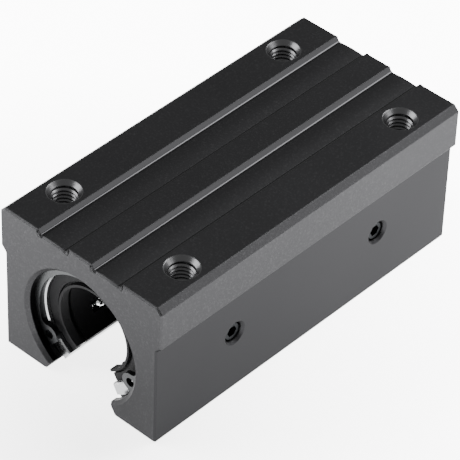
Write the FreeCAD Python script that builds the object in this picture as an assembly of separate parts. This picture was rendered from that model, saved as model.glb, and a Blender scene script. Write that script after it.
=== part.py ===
"""Long open linear bearing block for a 20 mm supported shaft.

An extruded aluminium housing, open along its underside, carries two open ball
bearings in one bore.  A circlip near each end keeps them in, and a set screw
through the right side locks each one.

Frame: X across the block, Y along the shaft, Z up.  The origin is the centre
of the underside.  All sizes are millimetres.
"""

import FreeCAD, Part
import math
import os

# ---------------------------------------------------------------- housing
block_width = 48.0
block_length = 96.0
block_height = 39.0
side_step = 1.3              # each side is narrower than the flange by this
flange_thickness = 11.0      # from the top face down to the side steps
step_drop = 1.4              # height of the sloped shelf under each side step
shoulder_chamfer = 1.4       # long chamfers along both top edges
long_edge_round = 0.5        # rounding of the steps and of the lower long edges
end_chamfer = 0.4            # chamfer round both end faces
shaft_height = 16.0          # shaft axis above the underside
bore_chamfer = 0.9
housing_gap_angle = 67.0     # opening of the housing under the shaft, degrees

groove_centre = 7.95         # middle of each top groove, from the centre plane
groove_width = 9.0
groove_depth = 1.25          # at the corners of the floor
groove_crown = 0.5           # rise of the floor's middle, before it is rounded
groove_corner = 0.4

# --------------------------------------------------------------- top holes
mount_pitch_x = 35.0
mount_pitch_y = 70.0
mount_hole_radius = 3.0      # M6, at the thread's outer radius
mount_hole_depth = 12.0
mount_countersink = 0.95     # depth of the 90 degree mouth
drill_tip_angle = 118.0

# ----------------------------------------------------------------- bearings
shaft_radius = 10.0
ball_radius = 1.5875
ball_clearance = 0.02        # between a ball, the shaft and its raceway together
ball_pitch_play = 0.03       # between neighbouring balls
raceway_height = 0.805       # a raceway stands in from the sleeve by this
raceway_half_angle = 7.0
sleeve_wall = 1.98
sleeve_clearance = 0.02      # radial, in the housing bore
sleeve_gap = 4.8             # between the two sleeves, along the shaft
bearing_gap_angle = 60.0     # opening of the bearing under the shaft, degrees
ring_groove_inset = 5.75     # from the sleeve's end to each outer ring groove
ring_groove_width = 1.6
ring_groove_depth = 0.73
sleeve_end_chamfer = 0.3
edge_land_angle = 21.5       # thick bar along each edge of the sleeve's slit, degrees
edge_land_play = 0.1         # round the bars, to the cage and the end pieces

circuit_angles = (-18.0, 54.0, 126.0, 198.0)
row_half_angle = 13.0        # load row and return row, either side of a circuit
ramp_length = 3.0            # a load row's balls lift past the raceway's end
return_play = 0.0625         # from a returning ball out to the sleeve

cage_shaft_play = 0.4        # radial, from the shaft
cage_outer_play = 0.1
cage_ball_play = 0.06
cage_end_wall = 0.65
slot_lip_half_width = 1.2    # the load slot at the cage's inner surface

# -------------------------------------------------------- seals and end rings
seal_thickness = 1.6
seal_play = 0.05             # radial, in the sleeve
lip_clearance = 0.03         # lip to shaft, radial
lip_thickness = 0.6
lip_proud = 0.55             # lip beyond the seal's flat face
seal_recess = 1.2            # seal's flat face, in from the sleeve's end
seal_groove_width = 0.6      # ring groove between the lip and the flat face
seal_groove_depth = 0.8
end_ring_thickness = 1.2
end_ring_shaft_play = 0.9
stack_play = 0.05            # between seal, end ring and cage

# ----------------------------------------------------------------- circlips
circlip_recess = 2.4         # from the end face to the circlip's outer face
circlip_thickness = 1.2
circlip_groove_depth = 0.85  # radial, into the housing bore
circlip_side_play = 0.05     # each side, in the groove
circlip_radial_play = 0.05
circlip_top_width = 2.7      # radial width opposite the gap
circlip_taper = 0.6          # the inner circle sits this far below the bore axis
circlip_turn = 4.8           # each sits turned a little in its groove, degrees
lug_angle = 30.0             # lug centre, below the horizontal
lug_inset = 2.5              # lug centre, in from the circlip's outer edge
lug_radius = 2.35
lug_half_angle = 9.2
lug_shoulder = 1.5           # fillet between a lug and the ring
lug_eye_radius = 1.15

# --------------------------------------------------------------- set screws
screw_radius = 2.5           # M5
screw_recess = 0.9           # head end below the side face
screw_countersink = 0.6      # depth of the 90 degree mouth
screw_clearance = 0.05       # radial, in its hole
screw_end_chamfer = 0.4
screw_seat_depth = 0.2       # flat seat in the sleeve under the screw's point
screw_seat_play = 0.1        # radial, round the point
screw_point_play = 0.02
hex_key_size = 2.5           # across flats
hex_depth = 2.6

# ------------------------------------------------------------ worked out once
half_length = block_length / 2
base_half_width = block_width / 2 - side_step
step_height = block_height - flange_thickness
raceway_radius = shaft_radius + 2 * ball_radius + ball_clearance
load_radius = shaft_radius + ball_radius + ball_clearance / 2
sleeve_inner_radius = raceway_radius + raceway_height
sleeve_radius = sleeve_inner_radius + sleeve_wall
bore_radius = sleeve_radius + sleeve_clearance
return_radius = sleeve_inner_radius - return_play - ball_radius
turn_radius = return_radius * math.radians(row_half_angle)
channel_half_width = ball_radius + cage_ball_play
circlip_groove_radius = bore_radius + circlip_groove_depth
circlip_radius = circlip_groove_radius - circlip_radial_play
lug_centre_radius = circlip_radius - lug_inset
bearing_end = half_length - circlip_recess - circlip_thickness
bearing_length = bearing_end - sleeve_gap / 2
bearing_middle = bearing_end - bearing_length / 2
seal_end = bearing_length / 2 - seal_recess
cage_half_length = seal_end - seal_thickness - end_ring_thickness - 2 * stack_play
row_half_length = cage_half_length - cage_end_wall - channel_half_width - turn_radius
raceway_half_length = row_half_length - ramp_length
cage_inner_radius = shaft_radius + cage_shaft_play
cage_outer_radius = sleeve_inner_radius - cage_outer_play
channel_floor_radius = return_radius - channel_half_width
end_piece_radius = sleeve_inner_radius - seal_play
screw_y = bearing_middle
screw_head_x = base_half_width - screw_recess
screw_seat_x = sleeve_radius - screw_seat_depth
screw_length = screw_head_x - screw_seat_x - screw_point_play
DOWN = -90.0


def on_bore(radius, angle, y):
    """A point at this radius and angle round the shaft axis; 0 is +X, 90 is up."""
    turn = math.radians(angle)
    return FreeCAD.Vector(radius * math.cos(turn), y, shaft_height + radius * math.sin(turn))


def rod(radius, y, length):
    """A cylinder on the shaft axis, from y towards +Y."""
    return Part.makeCylinder(radius, length, on_bore(0, 0, y), FreeCAD.Vector(0, 1, 0))


def tube(outer, inner, y, length):
    """A tube on the shaft axis."""
    return rod(outer, y, length).cut(rod(inner, y - 1, length + 2))


def wedge(angle, half_angle, y, length):
    """A prism that fills the angle about the shaft axis, out past the housing."""
    reach = block_width + block_height
    corners = [on_bore(0, 0, y)]
    for side in (-1.0, -0.5, 0.0, 0.5, 1.0):
        corners.append(on_bore(reach, angle + side * half_angle, y))
    corners.append(corners[0])
    face = Part.Face(Part.makePolygon(corners))
    return face.extrude(FreeCAD.Vector(0, length, 0))


def sector(outer, inner, angle, half_angle, y, length):
    """The part of a tube that lies within an angle."""
    return tube(outer, inner, y, length).common(wedge(angle, half_angle, y - 1, length + 2))


def turned(profile):
    """A ring turned about the shaft axis from (radius, y) corners."""
    corners = [on_bore(radius, 0, y) for radius, y in profile]
    face = Part.Face(Part.makePolygon(corners + corners[:1]))
    return face.revolve(on_bore(0, 0, 0), FreeCAD.Vector(0, 1, 0), 360)


def rounded_outline(corners):
    """A closed face in the XZ plane, from (x, z, radius) corners."""
    edges = []
    ends = []
    for index, (x, z, radius) in enumerate(corners):
        corner = FreeCAD.Vector(x, 0, z)
        before = FreeCAD.Vector(corners[index - 1][0], 0, corners[index - 1][1])
        following = corners[(index + 1) % len(corners)]
        after = FreeCAD.Vector(following[0], 0, following[1])
        inward = (before - corner).normalize()
        outward = (after - corner).normalize()
        if radius == 0:
            ends.append((corner, corner))
            continue
        half = inward.getAngle(outward) / 2
        tangent = radius / math.tan(half)
        middle = (inward + outward).normalize() * (radius / math.sin(half) - radius)
        start = corner + inward * tangent
        end = corner + outward * tangent
        edges.append(Part.Arc(start, corner + middle, end).toShape())
        ends.append((start, end))
    for index, (start, end) in enumerate(ends):
        edges.append(Part.LineSegment(ends[index - 1][1], start).toShape())
    return Part.Face(Part.Wire(Part.__sortEdges__(edges)))


def housing_section():
    """The extrusion's section with its opening, before the bore is cut."""
    base = base_half_width
    top = block_width / 2
    inner = groove_centre - groove_width / 2
    outer = groove_centre + groove_width / 2
    floor = block_height - groove_depth
    slope = math.atan(groove_crown / (groove_width / 2))
    crown_radius = groove_width / 3 / math.tan(slope)
    right = [
        (base, 0, long_edge_round),
        (base, step_height - step_drop, long_edge_round),
        (top, step_height, long_edge_round),
        (top, block_height - shoulder_chamfer, 0),
        (top - shoulder_chamfer, block_height, 0),
        (outer, block_height, 0),
        (outer, floor, groove_corner),
        (groove_centre, floor + groove_crown, crown_radius),
        (inner, floor, groove_corner),
        (inner, block_height, 0),
    ]
    left = [(-x, z, radius) for x, z, radius in reversed(right)]
    lip = shaft_height * math.tan(math.radians(housing_gap_angle / 2))
    opening = [
        (-lip, 0, long_edge_round),
        (0, shaft_height, 0),
        (lip, 0, long_edge_round),
    ]
    return rounded_outline(right + left + opening)


def make_housing():
    """Extruded body with its bore, opening, circlip grooves and screw holes."""
    body = housing_section().extrude(FreeCAD.Vector(0, block_length, 0))
    body.translate(FreeCAD.Vector(0, -half_length, 0))
    rims = [edge for edge in body.Edges if edge.BoundBox.YLength < 1e-6]
    body = body.makeChamfer(end_chamfer, rims)
    cuts = [rod(bore_radius, -half_length - 1, block_length + 2)]
    groove_width_y = circlip_thickness + 2 * circlip_side_play
    for end in (-1, 1):
        mouth = Part.makeCone(
            bore_radius + bore_chamfer,
            bore_radius,
            bore_chamfer,
            on_bore(0, 0, end * half_length),
            FreeCAD.Vector(0, -end, 0),
        )
        middle = end * (half_length - circlip_recess - circlip_thickness / 2)
        cuts.append(mouth)
        cuts.append(rod(circlip_groove_radius, middle - groove_width_y / 2, groove_width_y))
        cuts.append(screw_hole(end * screw_y))
        for side in (-1, 1):
            cuts.append(mount_hole(side * mount_pitch_x / 2, end * mount_pitch_y / 2))
    for cut in cuts:
        body = body.cut(cut)
    return body


def mount_hole(x, y):
    """A tapped hole down from the top face: mouth, threaded length, drill tip."""
    down = FreeCAD.Vector(0, 0, -1)
    top = FreeCAD.Vector(x, y, block_height)
    mouth_radius = mount_hole_radius + mount_countersink
    tip_depth = mount_hole_radius / math.tan(math.radians(drill_tip_angle / 2))
    hole = Part.makeCylinder(mount_hole_radius, mount_hole_depth, top, down)
    mouth = Part.makeCone(mouth_radius, mount_hole_radius, mount_countersink, top, down)
    bottom = top + down * mount_hole_depth
    tip = Part.makeCone(mount_hole_radius, 0, tip_depth, bottom, down)
    return hole.fuse([mouth, tip])


def screw_hole(y):
    """A set screw's hole from the right side through to the bore."""
    inward = FreeCAD.Vector(-1, 0, 0)
    face = FreeCAD.Vector(base_half_width, y, shaft_height)
    length = base_half_width - sleeve_inner_radius
    mouth_radius = screw_radius + screw_countersink
    hole = Part.makeCylinder(screw_radius, length, face, inward)
    mouth = Part.makeCone(mouth_radius, screw_radius, screw_countersink, face, inward)
    return hole.fuse(mouth)


def make_circlip(end):
    """Internal circlip: an eccentric ring with an eyed lug each side of its gap."""
    outer_radius = circlip_radius
    inner_radius = outer_radius - circlip_top_width + circlip_taper
    inner_face = end * (half_length - circlip_recess - circlip_thickness)
    y = min(inner_face, inner_face + end * circlip_thickness)
    inner_axis = FreeCAD.Vector(0, y - 1, shaft_height - circlip_taper)
    along = FreeCAD.Vector(0, 1, 0)
    ring = rod(outer_radius, y, circlip_thickness)
    ring = ring.cut(Part.makeCylinder(inner_radius, circlip_thickness + 2, inner_axis, along))
    gap_half_angle = 90 - lug_angle - lug_half_angle
    for side in (-1, 1):
        angle = DOWN + side * (90 - lug_angle)
        centre = on_bore(lug_centre_radius, angle, y)
        pad = Part.makeCylinder(lug_radius, circlip_thickness, centre, along)
        root_angle = angle - side * lug_half_angle / 2
        root = sector(
            outer_radius,
            lug_centre_radius,
            root_angle,
            lug_half_angle,
            y,
            circlip_thickness,
        )
        ring = ring.fuse([pad, root])
    ring = ring.common(rod(outer_radius, y, circlip_thickness))
    ring = ring.cut(wedge(DOWN, gap_half_angle, y - 1, circlip_thickness + 2))
    ring = ring.removeSplitter()
    lug_z = on_bore(lug_centre_radius, -lug_angle, y).z
    shoulders = []
    for edge in ring.Edges:
        middle = edge.BoundBox.Center
        inside = (middle - on_bore(0, 0, middle.y)).Length < inner_radius + circlip_taper
        if edge.BoundBox.ZLength < 0.001 and inside and lug_z < middle.z < lug_z + lug_radius:
            shoulders.append(edge)
    ring = ring.makeFillet(lug_shoulder, shoulders)
    for angle in (-lug_angle, lug_angle - 180):
        eye = on_bore(lug_centre_radius, angle, y - 1)
        ring = ring.cut(Part.makeCylinder(lug_eye_radius, circlip_thickness + 2, eye, along))
    ring.rotate(on_bore(0, 0, 0), along, -circlip_turn)
    return ring


def make_set_screw(end):
    """Hexagon socket set screw with a flat point, head end outwards."""
    radius = screw_radius - screw_clearance
    head = FreeCAD.Vector(screw_head_x, end * screw_y, shaft_height)
    inward = FreeCAD.Vector(-1, 0, 0)
    barrel = Part.makeCylinder(radius, screw_length, head, inward)
    rims = [edge for edge in barrel.Edges if isinstance(edge.Curve, Part.Circle)]
    barrel = barrel.makeChamfer(screw_end_chamfer, rims)
    corner_radius = hex_key_size / 2 / math.cos(math.radians(30))
    corners = []
    for index in range(7):
        turn = math.radians(60 * index)
        across = corner_radius * math.cos(turn)
        up = corner_radius * math.sin(turn)
        corners.append(head + FreeCAD.Vector(0, across, up))
    socket = Part.Face(Part.makePolygon(corners)).extrude(inward * hex_depth)
    return barrel.cut(socket)


def circuit_rows(angle):
    """Angles of a circuit's load row and return row; the load row is the lower."""
    if angle < 90:
        return angle - row_half_angle, angle + row_half_angle
    return angle + row_half_angle, angle - row_half_angle


def edge_bars(y, length, play):
    """The thick bars along the slit's two edges, grown by a play."""
    centre_angle = bearing_gap_angle / 2 + edge_land_angle / 2
    play_angle = math.degrees(play / sleeve_inner_radius)
    bars = []
    for side in (-1, 1):
        bars.append(
            sector(
                sleeve_inner_radius + sleeve_wall / 2,
                raceway_radius - play,
                DOWN + side * centre_angle,
                edge_land_angle / 2 + play_angle,
                y,
                length,
            )
        )
    return bars


def mouth_cone(radius, end_face, side):
    """The cone that chamfers an inner edge at one end of a sleeve."""
    mouth = radius + sleeve_end_chamfer
    start = on_bore(0, 0, end_face)
    return Part.makeCone(mouth, radius, sleeve_end_chamfer, start, FreeCAD.Vector(0, -side, 0))


def make_sleeve(end):
    """Hardened outer sleeve with a raised raceway over each load row."""
    y = end * bearing_middle - bearing_length / 2
    sleeve = tube(sleeve_radius, sleeve_inner_radius, y, bearing_length)
    for angle in circuit_angles:
        load_angle = circuit_rows(angle)[0]
        raceway = sector(
            sleeve_inner_radius + sleeve_wall / 2,
            raceway_radius,
            load_angle,
            raceway_half_angle,
            end * bearing_middle - raceway_half_length,
            2 * raceway_half_length,
        )
        sleeve = sleeve.fuse(raceway)
    bars = edge_bars(y, bearing_length, 0)
    for side in (-1, 1):
        end_face = end * bearing_middle + side * bearing_length / 2
        sleeve = sleeve.cut(mouth_cone(sleeve_inner_radius, end_face, side))
        bars = [bar.cut(mouth_cone(raceway_radius, end_face, side)) for bar in bars]
    sleeve = sleeve.fuse(bars)
    for side in (-1, 1):
        outer_edge = end * bearing_middle + side * (bearing_length / 2 - ring_groove_inset)
        low = min(outer_edge, outer_edge - side * ring_groove_width)
        floor_radius = sleeve_radius - ring_groove_depth
        sleeve = sleeve.cut(tube(bore_radius, floor_radius, low, ring_groove_width))
    floor = FreeCAD.Vector(screw_seat_x, end * screw_y, shaft_height)
    seat_radius = screw_radius + screw_seat_play
    seat = Part.makeCylinder(seat_radius, screw_length, floor, FreeCAD.Vector(1, 0, 0))
    sleeve = sleeve.cut(seat)
    sleeve = sleeve.cut(wedge(DOWN, bearing_gap_angle / 2, y - 1, bearing_length + 2))
    return sleeve.removeSplitter()


def radial_prism(angle, half_width, low_radius, high_radius, y, length):
    """A box along Y that stands out from the shaft axis at this angle."""
    box = Part.makeBox(high_radius - low_radius, length, 2 * half_width)
    box.translate(FreeCAD.Vector(low_radius, y, -half_width))
    box.rotate(FreeCAD.Vector(0, 0, 0), FreeCAD.Vector(0, 1, 0), -angle)
    box.translate(FreeCAD.Vector(0, 0, shaft_height))
    return box


def load_slot(angle, half_width, y, length):
    """A slot through the cage whose sides close in below the balls."""
    low = cage_inner_radius - 1
    high = sleeve_inner_radius + 1
    taper_top = load_radius - ball_radius * 0.2
    spread = (half_width - slot_lip_half_width) / (taper_top - cage_inner_radius)
    low_half_width = slot_lip_half_width - spread
    section = [
        (low, -low_half_width),
        (low, low_half_width),
        (taper_top, half_width),
        (high, half_width),
        (high, -half_width),
        (taper_top, -half_width),
        (low, -low_half_width),
    ]
    corners = [FreeCAD.Vector(radius, y, across) for radius, across in section]
    slot = Part.Face(Part.makePolygon(corners)).extrude(FreeCAD.Vector(0, length, 0))
    slot.rotate(FreeCAD.Vector(0, 0, 0), FreeCAD.Vector(0, 1, 0), -angle)
    slot.translate(FreeCAD.Vector(0, 0, shaft_height))
    return slot


def make_cage(end):
    """Moulded ball cage: a slot for each load row, a closed channel for its return."""
    middle = end * bearing_middle
    floor_radius = channel_floor_radius
    outer_radius = cage_outer_radius
    half_width = channel_half_width
    cage = tube(outer_radius, cage_inner_radius, middle - cage_half_length, 2 * cage_half_length)
    for angle in circuit_angles:
        load_angle, return_angle = circuit_rows(angle)
        relief = sector(
            outer_radius + 1,
            raceway_radius - cage_outer_play,
            load_angle,
            raceway_half_angle + 2,
            middle - raceway_half_length - cage_outer_play,
            2 * (raceway_half_length + cage_outer_play),
        )
        slot = load_slot(load_angle, half_width, middle - row_half_length, 2 * row_half_length)
        channel = radial_prism(
            return_angle,
            half_width,
            floor_radius,
            outer_radius + 1,
            middle - row_half_length,
            2 * row_half_length,
        )
        cage = cage.cut(relief).cut(slot).cut(channel)
        out = on_bore(1, angle, 0) - on_bore(0, 0, 0)
        floor = rod(floor_radius, middle - bearing_length, 2 * bearing_length)
        for side in (-1, 1):
            foot = on_bore(shaft_radius / 2, angle, middle + side * row_half_length)
            height = outer_radius + 1 - shaft_radius / 2
            bend = Part.makeCylinder(turn_radius + half_width, height, foot, out)
            core = Part.makeCylinder(turn_radius - half_width, height, foot, out)
            far = radial_prism(
                angle,
                2 * turn_radius,
                shaft_radius / 2,
                outer_radius + 1,
                min(foot.y, foot.y + side * 2 * turn_radius),
                2 * turn_radius,
            )
            cage = cage.cut(bend.cut(core).common(far).cut(floor))
    for bar in edge_bars(middle - bearing_length, 2 * bearing_length, edge_land_play):
        cage = cage.cut(bar)
    gap = wedge(DOWN, bearing_gap_angle / 2, middle - bearing_length, 2 * bearing_length)
    return cage.cut(gap)


def circuit_point(distance, angle, middle):
    """The ball centre at this distance round a circuit's closed track."""
    load_angle, return_angle = circuit_rows(angle)
    straight = 2 * row_half_length
    bend = math.pi * turn_radius
    distance = distance % (2 * (straight + bend))
    side = 1
    from_angle, to_angle = load_angle, return_angle
    on_load_row = True
    if distance >= straight + bend:
        distance -= straight + bend
        side = -1
        from_angle, to_angle = return_angle, load_angle
        on_load_row = False
    if distance >= straight:
        sweep = (distance - straight) / turn_radius
        share = (1 - math.cos(sweep)) / 2
        y = middle + side * (row_half_length + turn_radius * math.sin(sweep))
        return on_bore(return_radius, from_angle + (to_angle - from_angle) * share, y)
    y = middle + side * (distance - row_half_length)
    if not on_load_row:
        return on_bore(return_radius, from_angle, y)
    to_end = min(distance, straight - distance)
    lift = max(0.0, 1 - to_end / ramp_length)
    smooth = lift * lift * (3 - 2 * lift)
    radius = load_radius + (return_radius - load_radius) * smooth
    return on_bore(radius, from_angle, y)


def make_balls(end, angle):
    """One circuit's balls, each set a ball and a little play after the last."""
    middle = end * bearing_middle
    track = 4 * row_half_length + 2 * math.pi * turn_radius
    pitch = 2 * ball_radius + ball_pitch_play
    step = 0.01
    distance = 0.0
    start = circuit_point(distance, angle, middle)
    centres = [start]
    while distance < track:
        distance += step
        point = circuit_point(distance, angle, middle)
        if point.distanceToPoint(centres[-1]) < pitch:
            continue
        left_over = track - distance
        if left_over < 2 * pitch and point.distanceToPoint(start) < pitch:
            break
        centres.append(point)
    balls = [Part.makeSphere(ball_radius, centre) for centre in centres]
    return Part.makeCompound(balls)


def seal_ring(outer_face, inwards):
    """End seal: flat face, ring groove and a proud lip that wipes the shaft."""
    outer = end_piece_radius
    lip_inner = shaft_radius + lip_clearance
    lip_outer = lip_inner + lip_thickness
    face_inner = lip_outer + seal_groove_width
    profile = [
        (outer, 0),
        (outer, seal_thickness),
        (lip_inner, seal_thickness),
        (lip_inner, -lip_proud),
        (lip_outer, -lip_proud),
        (lip_outer, seal_groove_depth),
        (face_inner, seal_groove_depth),
        (face_inner, 0),
    ]
    ring = turned([(radius, outer_face + inwards * depth) for radius, depth in profile])
    reach = seal_thickness + lip_proud
    for bar in edge_bars(outer_face - reach, 2 * reach, edge_land_play):
        ring = ring.cut(bar)
    return ring.cut(wedge(DOWN, bearing_gap_angle / 2, outer_face - reach, 2 * reach))


def end_ring(outer_face, inwards):
    """Flat ring behind a seal; it keeps the cage in the sleeve."""
    near = outer_face + inwards * (seal_thickness + stack_play)
    y = min(near, near + inwards * end_ring_thickness)
    inner_radius = shaft_radius + end_ring_shaft_play
    ring = tube(end_piece_radius, inner_radius, y, end_ring_thickness)
    for bar in edge_bars(y - 1, end_ring_thickness + 2, edge_land_play):
        ring = ring.cut(bar)
    return ring.cut(wedge(DOWN, bearing_gap_angle / 2, y - 1, end_ring_thickness + 2))


def make_parts():
    """Every sub-part by the name of its node."""
    parts = {"housing": make_housing()}
    for name, end in (("front", -1), ("rear", 1)):
        parts[name + "_circlip"] = make_circlip(end)
        parts[name + "_set_screw"] = make_set_screw(end)
        parts[name + "_bearing_sleeve"] = make_sleeve(end)
        parts[name + "_ball_cage"] = make_cage(end)
        for number, angle in enumerate(circuit_angles, 1):
            parts[f"{name}_ball_circuit_{number}"] = make_balls(end, angle)
        for place, side in (("outer", end), ("inner", -end)):
            face = end * bearing_middle + side * seal_end
            parts[f"{name}_{place}_seal"] = seal_ring(face, -side)
            parts[f"{name}_{place}_end_ring"] = end_ring(face, -side)
    return parts


os.makedirs("parts", exist_ok=True)
for node, shape in make_parts().items():
    shape.exportStep(f"parts/{node}.step")
    print(node, len(shape.Solids), "solids", round(shape.Volume, 1), "mm3", shape.isValid())
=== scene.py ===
import math

import bpy
from mathutils import Matrix, Vector


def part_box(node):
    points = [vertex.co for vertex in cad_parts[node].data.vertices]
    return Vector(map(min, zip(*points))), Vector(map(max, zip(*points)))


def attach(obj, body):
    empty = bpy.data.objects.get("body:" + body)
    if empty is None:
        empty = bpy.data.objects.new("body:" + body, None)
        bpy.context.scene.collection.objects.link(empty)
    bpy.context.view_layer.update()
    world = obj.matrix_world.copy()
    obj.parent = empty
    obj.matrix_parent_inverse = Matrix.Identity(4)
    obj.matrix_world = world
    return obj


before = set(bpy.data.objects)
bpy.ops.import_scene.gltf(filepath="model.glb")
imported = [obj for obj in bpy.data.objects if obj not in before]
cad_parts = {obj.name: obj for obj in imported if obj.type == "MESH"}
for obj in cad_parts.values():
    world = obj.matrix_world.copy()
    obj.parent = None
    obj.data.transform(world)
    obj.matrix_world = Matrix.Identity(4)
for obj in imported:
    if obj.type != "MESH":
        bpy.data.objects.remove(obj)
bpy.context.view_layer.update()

# ---------------------------------------------------------------- housing
# One length of extruded aluminium, milled at both ends and on the flange,
# bored through, bead blasted and anodised black.  The film reads as a soft
# satin with faint specks, and is smoother where a tool cut the metal last.

HOUSING_COLOUR, HOUSING_SPECK = "#2b2b2c", "#363637"
DIE_LINE_AND_SIDE_SHADE_COLOUR = "#222223"    # dark tone of the die lines, and painted shade on the sides below the flange
BORE_SHADE_COLOUR = "#151516"       # painted shade: the bore is painted darker
MOUTH_REFLECTION_COLOUR = "#4c4c4d"       # painted reflection: the countersinks and threads are painted lighter
HOUSING_EDGE_TINT = "#c4c4c4"  # the oxide film dulls reflections at a low angle
BLASTED_ROUGHNESS = (0.40, 0.50)
CUT_ROUGHNESS = 0.30
BLAST_PIT_MM = 0.45            # twice the size of a real pit, so that it shows
BLAST_PIT_DEPTH_MM = 0.03
SPECK_FROM, SPECK_FULL = 0.52, 0.75
CLOUD_MM = 30.0                # slow change of the anodising's depth
HOUSING_EDGE_MM = 0.34         # blasting rounds each sharp edge by this
FLANGE_UNDERSIDE = 0.0280
SIDE_SHADE_FROM_X, SIDE_SHADE_FACING = 0.0220, 0.3
BORE_AXIS, BORE_REACH = (0.0, 0.0, 0.016), 0.01605
HOLE_X, HOLE_Y, MOUTH_REACH = 0.0175, 0.035, 0.0041


def linear(hex_colour):
    """A linear RGBA colour from an sRGB hex value."""
    values = [int(hex_colour[i:i + 2], 16) / 255 for i in (1, 3, 5)]
    return [v / 12.92 if v <= 0.04045 else ((v + 0.055) / 1.055) ** 2.4 for v in values] + [1.0]


def add_node(tree, kind, settings=None, links=None):
    """A node with its settings (attributes or input values) and incoming links."""
    node = tree.nodes.new(kind)
    for name, value in (settings or {}).items():
        if isinstance(name, str) and hasattr(node, name):
            setattr(node, name, value)
        else:
            node.inputs[name].default_value = value
    for name, source in (links or {}).items():
        tree.links.new(source, node.inputs[name])
    return node


def new_material(name):
    """An empty node material, its node tree, and a texture position in metres."""
    material = bpy.data.materials.new(name)
    material.use_nodes = True
    tree = material.node_tree
    tree.nodes.clear()
    place = add_node(tree, "ShaderNodeTexCoord").outputs["Object"]
    return material, tree, place


def finish_material(tree, settings, links):
    """The Principled shader with its values and links, joined to the output."""
    shader = add_node(tree, "ShaderNodeBsdfPrincipled", settings, links)
    add_node(tree, "ShaderNodeOutputMaterial", {}, {"Surface": shader.outputs[0]})


def dress(node, material):
    """Gives a CAD node its finish."""
    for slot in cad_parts[node].material_slots:
        slot.material = material


# In a Mix node, sockets 2 and 3 are its numbers, and 6 and 7 its colours.
anodised, tree, place = new_material("bead_blasted_anodised_aluminium")
pits = add_node(
    tree,
    "ShaderNodeTexNoise",
    {"Scale": 1000 / BLAST_PIT_MM, "Detail": 3.0, "Roughness": 0.6},
    {"Vector": place},
)
clouds = add_node(tree, "ShaderNodeTexNoise", {"Scale": 1000 / CLOUD_MM, "Detail": 2.0}, {"Vector": place})
speck = add_node(
    tree, "ShaderNodeMapRange", {"From Min": SPECK_FROM, "From Max": SPECK_FULL}, {"Value": pits.outputs["Fac"]}
)
colour = add_node(
    tree,
    "ShaderNodeMix",
    {"data_type": "RGBA", 6: linear(HOUSING_COLOUR), 7: linear(HOUSING_SPECK)},
    {0: speck.outputs["Result"]},
)

# Painted shade: faces that look sideways, out at the sides, below the flange, are painted darker.
facing = add_node(tree, "ShaderNodeNewGeometry").outputs["Normal"]
facing = add_node(tree, "ShaderNodeSeparateXYZ", {}, {0: facing})
where = add_node(tree, "ShaderNodeSeparateXYZ", {}, {0: place})
lower_side_shade = add_node(tree, "ShaderNodeMath", {"operation": "LESS_THAN", 1: FLANGE_UNDERSIDE}, {0: where.outputs["Z"]})
for axes, least in ((facing, SIDE_SHADE_FACING), (where, SIDE_SHADE_FROM_X)):
    sideways = add_node(tree, "ShaderNodeMath", {"operation": "ABSOLUTE"}, {0: axes.outputs["X"]})
    enough = add_node(tree, "ShaderNodeMath", {"operation": "GREATER_THAN", 1: least}, {0: sideways.outputs[0]})
    both = {0: lower_side_shade.outputs[0], 1: enough.outputs[0]}
    lower_side_shade = add_node(tree, "ShaderNodeMath", {"operation": "MULTIPLY"}, both)

# The cut skin: the bore's wall, and the mouths of the four holes in the top.
from_axis = add_node(tree, "ShaderNodeVectorMath", {"operation": "MULTIPLY", 1: (1.0, 0.0, 1.0)}, {0: place})
from_axis = add_node(
    tree, "ShaderNodeVectorMath", {"operation": "DISTANCE", 1: BORE_AXIS}, {0: from_axis.outputs[0]}
)
bored = add_node(tree, "ShaderNodeMath", {"operation": "LESS_THAN", 1: BORE_REACH}, {0: from_axis.outputs["Value"]})
quarter = add_node(tree, "ShaderNodeVectorMath", {"operation": "ABSOLUTE"}, {0: place})
quarter = add_node(
    tree, "ShaderNodeVectorMath", {"operation": "MULTIPLY", 1: (1.0, 1.0, 0.0)}, {0: quarter.outputs[0]}
)
from_hole = add_node(
    tree, "ShaderNodeVectorMath", {"operation": "DISTANCE", 1: (HOLE_X, HOLE_Y, 0.0)}, {0: quarter.outputs[0]}
)
mouth = add_node(tree, "ShaderNodeMath", {"operation": "LESS_THAN", 1: MOUTH_REACH}, {0: from_hole.outputs["Value"]})
cut = add_node(tree, "ShaderNodeMath", {"operation": "MAXIMUM"}, {0: mouth.outputs[0], 1: bored.outputs[0]})

# Painted shade darkens the lower sides and the bore, and a painted reflection lightens the hole mouths.
for mask, tone in ((lower_side_shade, DIE_LINE_AND_SIDE_SHADE_COLOUR), (bored, BORE_SHADE_COLOUR), (mouth, MOUTH_REFLECTION_COLOUR)):
    colour = add_node(
        tree,
        "ShaderNodeMix",
        {"data_type": "RGBA", 7: linear(tone)},
        {0: mask.outputs[0], 6: colour.outputs[2]},
    )
rough = add_node(
    tree,
    "ShaderNodeMapRange",
    {"To Min": BLASTED_ROUGHNESS[0], "To Max": BLASTED_ROUGHNESS[1]},
    {"Value": clouds.outputs["Fac"]},
)
rough = add_node(tree, "ShaderNodeMix", {3: CUT_ROUGHNESS}, {0: cut.outputs[0], 2: rough.outputs["Result"]})
edge = add_node(tree, "ShaderNodeBevel", {"samples": 4, "Radius": HOUSING_EDGE_MM / 1000})
bump = add_node(
    tree,
    "ShaderNodeBump",
    {"Strength": 0.35, "Distance": BLAST_PIT_DEPTH_MM / 1000},
    {"Height": pits.outputs["Fac"], "Normal": edge.outputs["Normal"]},
)
finish_material(
    tree,
    {"Metallic": 1.0, "Specular Tint": linear(HOUSING_EDGE_TINT)},
    {"Base Color": colour.outputs[2], "Roughness": rough.outputs[0], "Normal": bump.outputs["Normal"]},
)
dress("housing", anodised)

# ------------------------------------------------------------- groove flanks
# The extrusion die leaves each wall of the two top grooves leaning a little
# and flowing into the floor by a fillet.  They aren't blasted, so the same
# black film is smooth there, with fine lines drawn along it.

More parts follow.
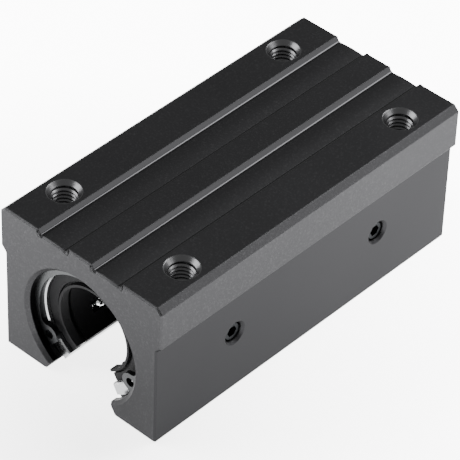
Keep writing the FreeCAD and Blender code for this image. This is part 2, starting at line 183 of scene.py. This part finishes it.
GROOVE_MIDDLE, GROOVE_HALF = 0.00795, 0.0045
GROOVE_DEPTH = 0.00125
BLOCK_HALF, END_CHAMFER = 0.048, 0.0004
FLANK_LEAN = 0.60            # sideways run for each unit of depth
FLOOR_RISE = 0.111           # the floor climbs to its middle by this slope
FILLET_TANGENT = 0.0006
FILLET_STEPS = 8
TOP_SINK = 0.00001           # the strip starts this far below the top face
HIDDEN = 0.00006             # the strip's back stands this far into the metal
SHARP_ANGLE = math.radians(25)
DIE_LINE_MM = 0.35
DIE_SKIN_ROUGHNESS = (0.11, 0.21)
top_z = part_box("housing")[1][2]

die_skin, tree, place = new_material("anodised_die_skin")
along = add_node(tree, "ShaderNodeMapping", {"Scale": (1.0, 0.01, 1.0)}, {"Vector": place})
die_lines = add_node(
    tree, "ShaderNodeTexNoise", {"Scale": 1000 / DIE_LINE_MM, "Detail": 2.0}, {"Vector": along.outputs["Vector"]}
)
colour = add_node(
    tree,
    "ShaderNodeMix",
    {"data_type": "RGBA", 6: linear(DIE_LINE_AND_SIDE_SHADE_COLOUR), 7: linear(HOUSING_COLOUR)},
    {0: die_lines.outputs["Fac"]},
)
rough = add_node(
    tree,
    "ShaderNodeMapRange",
    {"To Min": DIE_SKIN_ROUGHNESS[0], "To Max": DIE_SKIN_ROUGHNESS[1]},
    {"Value": die_lines.outputs["Fac"]},
)
finish_material(tree, {"Metallic": 1.0}, {"Base Color": colour.outputs[2], "Roughness": rough.outputs["Result"]})


def flank_profile():
    """The strip's front, as points with normals, and its hidden back, as points."""
    root_u = FLANK_LEAN * GROOVE_DEPTH / (1 + FLANK_LEAN * FLOOR_RISE)
    root = Vector((root_u, FLOOR_RISE * root_u - GROOVE_DEPTH))
    down = Vector((FLANK_LEAN, -1.0)).normalized()
    across = Vector((1.0, FLOOR_RISE)).normalized()
    start, end = root - down * FILLET_TANGENT, root + across * FILLET_TANGENT
    front = [(Vector((0.0, -TOP_SINK)), Vector((-down.y, down.x)))]
    for step in range(FILLET_STEPS + 1):
        t = step / FILLET_STEPS
        point = start * (1 - t) ** 2 + root * 2 * t * (1 - t) + end * t * t
        way = (root - start) * (1 - t) + (end - root) * t
        way.normalize()
        front.append((point, Vector((-way.y, way.x))))
    back = [
        Vector((end.x, end.y - HIDDEN)),
        Vector((-HIDDEN, -GROOVE_DEPTH - HIDDEN)),
        Vector((-HIDDEN, -HIDDEN)),
    ]
    return front, back


def groove_flank(name, wall_x, side):
    """A strip along a groove's wall: leaning face, fillet, and ends cut back."""
    front, back = flank_profile()
    rings = []
    full = BLOCK_HALF - END_CHAMFER
    for y, inset in ((-BLOCK_HALF, END_CHAMFER), (-full, 0), (full, 0), (BLOCK_HALF, END_CHAMFER)):
        ring = [point - normal * inset for point, normal in front]
        ring += [Vector((point.x, point.y - inset)) for point in back]
        rings.append([(wall_x + side * point.x, y, top_z + point.y) for point in ring])
    size = len(rings[0])
    faces = []
    for row in range(len(rings) - 1):
        near, far = row * size, (row + 1) * size
        for index in range(size):
            after = (index + 1) % size
            faces.append((near + index, near + after, far + after, far + index))
    faces.append(tuple(reversed(range(size))))
    faces.append(tuple(range((len(rings) - 1) * size, len(rings) * size)))
    if side < 0:
        faces = [tuple(reversed(face)) for face in faces]
    mesh = bpy.data.meshes.new(name)
    mesh.from_pydata([point for ring in rings for point in ring], [], faces)
    mesh.shade_smooth()
    mesh.set_sharp_from_angle(angle=SHARP_ANGLE)
    mesh.materials.append(die_skin)
    mesh.materials.append(anodised)
    for face in mesh.polygons:
        milled = abs(face.center.y) > full
        face.material_index = 1 if milled else 0
    flank = bpy.data.objects.new(name, mesh)
    bpy.context.scene.collection.objects.link(flank)
    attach(flank, "root")


for middle, groove in ((-GROOVE_MIDDLE, "left_groove"), (GROOVE_MIDDLE, "right_groove")):
    groove_flank(groove + "_left_flank", middle - GROOVE_HALF, 1)
    groove_flank(groove + "_right_flank", middle + GROOVE_HALF, -1)

# ------------------------------------------------- threads in the top holes
# Four M6 holes, countersunk and tapped before the block was anodised: the same film, but smoother than the blasted
# skin, so each turn catches the light, and painted lighter as a painted reflection.

THREAD_OUTER, THREAD_CREST = 0.00302, 0.00254
THREAD_PITCH = 0.001
THREAD_START, THREAD_END = 0.0014, 0.0118
RIDGE_FOOT, RIDGE_FLAT = 0.47, 0.07  # half its width at foot and crest, in pitches
STEPS_PER_TURN = 48
RUN_OUT_STEPS = STEPS_PER_TURN / 3   # the ridge grows and fades over a third of a turn
LAST_HEIGHT = 0.01                   # what is left of the ridge at its far end


def thread_ridge(name, centre):
    """A 60 degree thread ridge that winds down a round hole."""
    points, faces = [], []
    count = int((THREAD_END - THREAD_START) / THREAD_PITCH * STEPS_PER_TURN)
    profile = [
        (THREAD_OUTER, -RIDGE_FOOT),
        (THREAD_CREST, -RIDGE_FLAT),
        (THREAD_CREST, RIDGE_FLAT),
        (THREAD_OUTER, RIDGE_FOOT),
    ]
    for step in range(count + 1):
        turn = 2 * math.pi * step / STEPS_PER_TURN
        depth = THREAD_START + THREAD_PITCH * step / STEPS_PER_TURN
        height = min(1.0, step / RUN_OUT_STEPS, (count - step) / RUN_OUT_STEPS + LAST_HEIGHT)
        for radius, rise in profile:
            reach = THREAD_OUTER + (radius - THREAD_OUTER) * height
            z = centre.z - depth - rise * THREAD_PITCH
            points.append((centre.x + reach * math.cos(turn), centre.y - reach * math.sin(turn), z))
    size = len(profile)
    for step in range(count):
        for side in range(size - 1):
            corner = step * size + side
            faces.append((corner, corner + 1, corner + size + 1, corner + size))
    mesh = bpy.data.meshes.new(name)
    mesh.from_pydata(points, [], faces)
    mesh.materials.append(anodised)
    ridge = bpy.data.objects.new(name, mesh)
    bpy.context.scene.collection.objects.link(ridge)
    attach(ridge, "root")


for x_side, x_name in ((-1, "left"), (1, "right")):
    for y_side, y_name in ((-1, "front"), (1, "rear")):
        thread_ridge(f"thread_{x_name}_{y_name}", Vector((x_side * HOLE_X, y_side * HOLE_Y, top_z)))

# ---------------------------------------------------------------- circlips
# Internal circlips stamped from spring steel strip and phosphated: an almost
# black skin with a fine crystal grain and a low sheen.

PHOSPHATE_GRAIN_MM = 0.4     # coarser than the real crystals, so that it shows
PHOSPHATE_GRAIN_DEPTH_MM = 0.01
PHOSPHATE_DARK, PHOSPHATE_LIGHT = "#232425", "#2e2f30"


def mottle(tree, place, size_mm, detail, dark, light):
    """A mottle of two colours: the pattern, and the colour made from it."""
    pattern = add_node(tree, "ShaderNodeTexNoise", {"Scale": 1000 / size_mm, "Detail": detail}, {"Vector": place})
    mixed = add_node(
        tree,
        "ShaderNodeMix",
        {"data_type": "RGBA", 6: linear(dark), 7: linear(light)},
        {0: pattern.outputs["Fac"]},
    )
    return pattern.outputs["Fac"], mixed.outputs[2]


phosphated_steel, tree, place = new_material("phosphated_spring_steel")
grain, colour = mottle(tree, place, PHOSPHATE_GRAIN_MM, 3.0, PHOSPHATE_DARK, PHOSPHATE_LIGHT)
bump = add_node(
    tree, "ShaderNodeBump", {"Strength": 0.2, "Distance": PHOSPHATE_GRAIN_DEPTH_MM / 1000}, {"Height": grain}
)
finish_material(
    tree, {"Metallic": 1.0, "Roughness": 0.38}, {"Base Color": colour, "Normal": bump.outputs["Normal"]}
)
dress("front_circlip", phosphated_steel)
dress("rear_circlip", phosphated_steel)

# --------------------------------------------------------------- set screws
# Hexagon socket set screws of alloy steel, hardened and oxidised black in
# oil, which leaves a thin dark film with a low sheen.

OXIDE_PATCH_MM = 0.556
OXIDE_DARK, OXIDE_LIGHT = "#161718", "#202122"

screw_steel, tree, place = new_material("black_oxide_steel")
_, colour = mottle(tree, place, OXIDE_PATCH_MM, 3.0, OXIDE_DARK, OXIDE_LIGHT)
finish_material(
    tree,
    {"Metallic": 1.0, "Roughness": 0.35, "Specular Tint": linear(HOUSING_EDGE_TINT)},
    {"Base Color": colour},
)
dress("front_set_screw", screw_steel)
dress("rear_set_screw", screw_steel)

# ---------------------------------------------------------- bearing sleeves
# Bearing steel, hardened, the outside and both ends ground.  The ground ends
# carry fine lines and the slit's cut faces shine.

GRINDING_LINE_MM = 0.667     # coarser than the real lines, so that they show
GRINDING_LINE_DEPTH_MM = 0.005
GROUND_ROUGHNESS = (0.18, 0.32)
SLEEVE_COLOUR = "#8c8d8e"

sleeve_steel, tree, place = new_material("ground_bearing_steel")
stretch = add_node(tree, "ShaderNodeMapping", {"Scale": (1.0, 6.0, 1.0)}, {"Vector": place})
lines = add_node(
    tree,
    "ShaderNodeTexNoise",
    {"Scale": 1000 / GRINDING_LINE_MM, "Detail": 3.0},
    {"Vector": stretch.outputs["Vector"]},
)
rough = add_node(
    tree,
    "ShaderNodeMapRange",
    {"To Min": GROUND_ROUGHNESS[0], "To Max": GROUND_ROUGHNESS[1]},
    {"Value": lines.outputs["Fac"]},
)
bump = add_node(
    tree,
    "ShaderNodeBump",
    {"Strength": 0.1, "Distance": GRINDING_LINE_DEPTH_MM / 1000},
    {"Height": lines.outputs["Fac"]},
)
finish_material(
    tree,
    {"Metallic": 1.0, "Base Color": linear(SLEEVE_COLOUR)},
    {"Roughness": rough.outputs["Result"], "Normal": bump.outputs["Normal"]},
)
dress("front_bearing_sleeve", sleeve_steel)
dress("rear_bearing_sleeve", sleeve_steel)

# ---------------------------------------------------------------- end rings
# Pressed from steel strip and phosphated as the circlips are.  One stands
# behind each seal and keeps the cage in its place.

for bearing in ("front", "rear"):
    for end in ("outer", "inner"):
        dress(f"{bearing}_{end}_end_ring", phosphated_steel)

# --------------------------------------------------------------- ball cages
# Injection moulded acetal, black: a smooth waxy plastic with a faint spark
# texture left by the mould.

SPARK_TEXTURE_MM, SPARK_TEXTURE_DEPTH_MM = 0.2, 0.01
ACETAL_DARK, ACETAL_LIGHT = "#070708", "#0d0d0e"

acetal, tree, place = new_material("moulded_black_acetal")
spark, colour = mottle(tree, place, SPARK_TEXTURE_MM, 2.0, ACETAL_DARK, ACETAL_LIGHT)
bump = add_node(
    tree, "ShaderNodeBump", {"Strength": 0.15, "Distance": SPARK_TEXTURE_DEPTH_MM / 1000}, {"Height": spark}
)
finish_material(
    tree,
    {"IOR": 1.48, "Roughness": 0.7, "Specular IOR Level": 0.06},
    {"Base Color": colour, "Normal": bump.outputs["Normal"]},
)
dress("front_ball_cage", acetal)
dress("rear_ball_cage", acetal)

# -------------------------------------------------------------------- balls
# Chromium steel balls, hardened and lapped to a mirror, with a thin film of
# oil that softens the reflections a little here and there.

OIL_PATCH_MM = 1.11
LAPPED_ROUGHNESS = (0.05, 0.14)
BALL_COLOUR = "#dcdddd"
CIRCUITS_PER_BEARING = 4

ball_steel, tree, place = new_material("lapped_ball_steel")
oil = add_node(tree, "ShaderNodeTexNoise", {"Scale": 1000 / OIL_PATCH_MM, "Detail": 1.0}, {"Vector": place})
rough = add_node(
    tree,
    "ShaderNodeMapRange",
    {"To Min": LAPPED_ROUGHNESS[0], "To Max": LAPPED_ROUGHNESS[1]},
    {"Value": oil.outputs["Fac"]},
)
finish_material(tree, {"Metallic": 1.0, "Base Color": linear(BALL_COLOUR)}, {"Roughness": rough.outputs["Result"]})
for bearing in ("front", "rear"):
    for number in range(1, CIRCUITS_PER_BEARING + 1):
        dress(f"{bearing}_ball_circuit_{number}", ball_steel)

# -------------------------------------------------------------------- seals
# Nitrile rubber moulded on the bearing's ends: matt, almost black, with a
# fine grain from the mould.

RUBBER_GRAIN_MM, RUBBER_GRAIN_DEPTH_MM = 0.333, 0.02
NITRILE_DARK, NITRILE_LIGHT = "#0d0d0e", "#171718"

nitrile, tree, place = new_material("moulded_nitrile_rubber")
grain, colour = mottle(tree, place, RUBBER_GRAIN_MM, 3.0, NITRILE_DARK, NITRILE_LIGHT)
bump = add_node(
    tree, "ShaderNodeBump", {"Strength": 0.3, "Distance": RUBBER_GRAIN_DEPTH_MM / 1000}, {"Height": grain}
)
finish_material(
    tree,
    {"IOR": 1.52, "Roughness": 0.7, "Specular IOR Level": 0.08},
    {"Base Color": colour, "Normal": bump.outputs["Normal"]},
)
for bearing in ("front", "rear"):
    for end in ("outer", "inner"):
        dress(f"{bearing}_{end}_seal", nitrile)

# -------------------------------------------------------- floor and backdrop
# A plain white studio table, big enough to fill the view and lit from below.
# Its glow is a little dimmer near the block's right front, a painted soft shadow that keeps the upright faces from
# washing out, and a painted shadow darkens it underneath the block.

TABLE_COLOUR, GLOW_COLOUR = "#f4f4f4", "#ffffff"
FLOOR_HALF = 1.5
FLOOR_DROP = 0.0001          # keeps the table's face clear of the block's underside
FLOOR_DIM, FLOOR_BRIGHT = 2.8, 9.0
FLOOR_FADE = 0.133           # from the dimmest place out to the full brightness
DIM_PLACE = (0.014, -0.058, 0.0)
SHADE_MIDDLE, SHADE_HALF = (0.0, 0.011, 0.0), (0.022, 0.037, 1.0)
SHADE_BLUR, SHADE_DEPTH = 0.006, 0.03

floor_mesh = bpy.data.meshes.new("floor")
corners = [(-1, -1), (1, -1), (1, 1), (-1, 1)]
floor_mesh.from_pydata([(x * FLOOR_HALF, y * FLOOR_HALF, -FLOOR_DROP) for x, y in corners], [], [(0, 1, 2, 3)])
floor = bpy.data.objects.new("floor", floor_mesh)
bpy.context.scene.collection.objects.link(floor)
table_white, tree, place = new_material("white_studio_table")
from_dim = add_node(tree, "ShaderNodeVectorMath", {"operation": "DISTANCE", 1: DIM_PLACE}, {0: place})
glow = add_node(
    tree,
    "ShaderNodeMapRange",
    {"From Max": FLOOR_FADE, "To Min": FLOOR_DIM, "To Max": FLOOR_BRIGHT},
    {"Value": from_dim.outputs["Value"]},
)
from_shade = add_node(tree, "ShaderNodeVectorMath", {"operation": "SUBTRACT", 1: SHADE_MIDDLE}, {0: place})
aside = add_node(tree, "ShaderNodeVectorMath", {"operation": "ABSOLUTE"}, {0: from_shade.outputs[0]})
beyond = add_node(tree, "ShaderNodeVectorMath", {"operation": "SUBTRACT", 1: SHADE_HALF}, {0: aside.outputs[0]})
sides = add_node(tree, "ShaderNodeSeparateXYZ", {}, {0: beyond.outputs[0]})
outside = add_node(tree, "ShaderNodeMath", {"operation": "MAXIMUM"}, {0: sides.outputs["X"], 1: sides.outputs["Y"]})
shade = add_node(
    tree,
    "ShaderNodeMapRange",
    {"From Min": -SHADE_BLUR, "From Max": 0.0, "To Min": SHADE_DEPTH},
    {"Value": outside.outputs[0]},
)
strength = add_node(
    tree, "ShaderNodeMath", {"operation": "MULTIPLY"}, {0: glow.outputs["Result"], 1: shade.outputs["Result"]}
)
finish_material(
    tree,
    {"Base Color": linear(TABLE_COLOUR), "Roughness": 0.8, "Emission Color": linear(GLOW_COLOUR)},
    {"Emission Strength": strength.outputs[0]},
)
floor_mesh.materials.append(table_white)

# -------------------------------------------------------------------- light
# A dim room with three soft boxes: one behind, which draws the bright lines
# along the grooves, one at the left front, and one low at the right.

ROOM_STRENGTH = 0.7
AIM = Vector((0, 0, 0.02))   # about the middle of the block

world = bpy.data.worlds.new("studio_room")
bpy.context.scene.world = world
world.use_nodes = True
world.node_tree.nodes.clear()
room_light = {"Color": linear(GLOW_COLOUR), "Strength": ROOM_STRENGTH}
room = add_node(world.node_tree, "ShaderNodeBackground", room_light)
add_node(world.node_tree, "ShaderNodeOutputWorld", {}, {"Surface": room.outputs[0]})


def soft_box(name, place, size, power):
    """A square area light at this place, turned towards the block."""
    light = bpy.data.lights.new(name, "AREA")
    light.shape = "SQUARE"
    light.size = size
    light.energy = power
    box = bpy.data.objects.new(name, light)
    box.location = place
    box.rotation_mode = "QUATERNION"
    box.rotation_quaternion = (AIM - box.location).to_track_quat("-Z", "Y")
    bpy.context.scene.collection.objects.link(box)


soft_box("back_box", Vector((0.20, 0.68, 0.75)), 0.50, 16.0)
soft_box("left_box", Vector((-0.70, -0.45, 0.52)), 0.70, 17.0)
soft_box("right_box", Vector((0.75, 0.56, 0.40)), 0.62, 6.0)

# ------------------------------------------------------------------- camera
# A long lens from the right front, looking down on the block.

AZIMUTH, ELEVATION, ROLL = (math.radians(v) for v in (41.626, 40.890, 2.145))
DISTANCE = 0.717065
SHIFT_RIGHT, SHIFT_UP = 0.000022, 0.012976
SENSOR_MM, LENS_MM = 36.0, 247.968

back = Vector((
    math.sin(AZIMUTH) * math.cos(ELEVATION),
    -math.cos(AZIMUTH) * math.cos(ELEVATION),
    math.sin(ELEVATION),
))
level_right = (-back).cross(Vector((0, 0, 1))).normalized()
level_up = level_right.cross(-back)
right = math.cos(ROLL) * level_right + math.sin(ROLL) * level_up
up = math.cos(ROLL) * level_up - math.sin(ROLL) * level_right
camera_data = bpy.data.cameras.new("camera")
camera_data.sensor_width = SENSOR_MM
camera_data.lens = LENS_MM
camera = bpy.data.objects.new("camera", camera_data)
axes = Matrix((right, up, back)).transposed().to_4x4()
axes.translation = SHIFT_RIGHT * right + SHIFT_UP * up + DISTANCE * back
camera.matrix_world = axes
bpy.context.scene.collection.objects.link(camera)
bpy.context.scene.camera = camera
